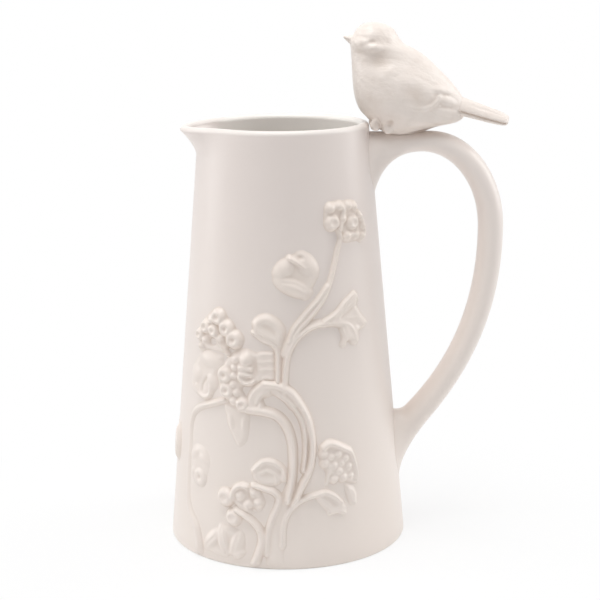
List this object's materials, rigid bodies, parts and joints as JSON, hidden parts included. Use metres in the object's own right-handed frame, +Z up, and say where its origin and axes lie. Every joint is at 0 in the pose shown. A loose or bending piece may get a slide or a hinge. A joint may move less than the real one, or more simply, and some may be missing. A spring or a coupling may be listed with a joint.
{
  "type": "bird jug",
  "caption": "Tapered glazed ceramic jug with a pulled spout, a looped side handle with a small perched bird, and a raised flowering vine round the wall.",
  "frame": {"origin": "centre of the bounding box at the level of the standing ring", "axes": "+Z up along the jug's axis, +X from the spout to the handle, +Y to the jug's back (the picture looks along +Y)"},
  "size_m": [0.1682, 0.12, 0.254],
  "materials": {
    "jug_glaze": "gloss",
    "bird_glaze": "gloss",
    "sprig_glaze": "gloss"
  },
  "bodies": {
    "root": {"back_berry_spray": "sprig_glaze", "back_blossoms": "sprig_glaze", "back_bract_leaf": "sprig_glaze", "back_broad_leaf": "sprig_glaze", "back_bud": "sprig_glaze", "back_bud_leaf": "sprig_glaze", "back_folded_leaf": "sprig_glaze", "back_ground_leaf": "sprig_glaze", "back_lobed_leaf": "sprig_glaze", "back_lower_umbel": "sprig_glaze", "back_rosette": "sprig_glaze", "back_side_floret": "sprig_glaze", "back_side_stem": "sprig_glaze", "back_spout_leaf": "sprig_glaze", "back_top_umbel": "sprig_glaze", "back_vine": "sprig_glaze", "bird_body": "bird_glaze", "bird_left_wing": "bird_glaze", "bird_right_wing": "bird_glaze", "bird_tail": "bird_glaze", "front_berry_spray": "sprig_glaze", "front_blossoms": "sprig_glaze", "front_bract_leaf": "sprig_glaze", "front_broad_leaf": "sprig_glaze", "front_bud": "sprig_glaze", "front_bud_leaf": "sprig_glaze", "front_folded_leaf": "sprig_glaze", "front_ground_leaf": "sprig_glaze", "front_lobed_leaf": "sprig_glaze", "front_lower_umbel": "sprig_glaze", "front_rosette": "sprig_glaze", "front_side_floret": "sprig_glaze", "front_side_stem": "sprig_glaze", "front_spout_leaf": "sprig_glaze", "front_top_umbel": "sprig_glaze", "front_vine": "sprig_glaze", "handle": "jug_glaze", "jug_body": "jug_glaze"}
  },
  "joints": []
}
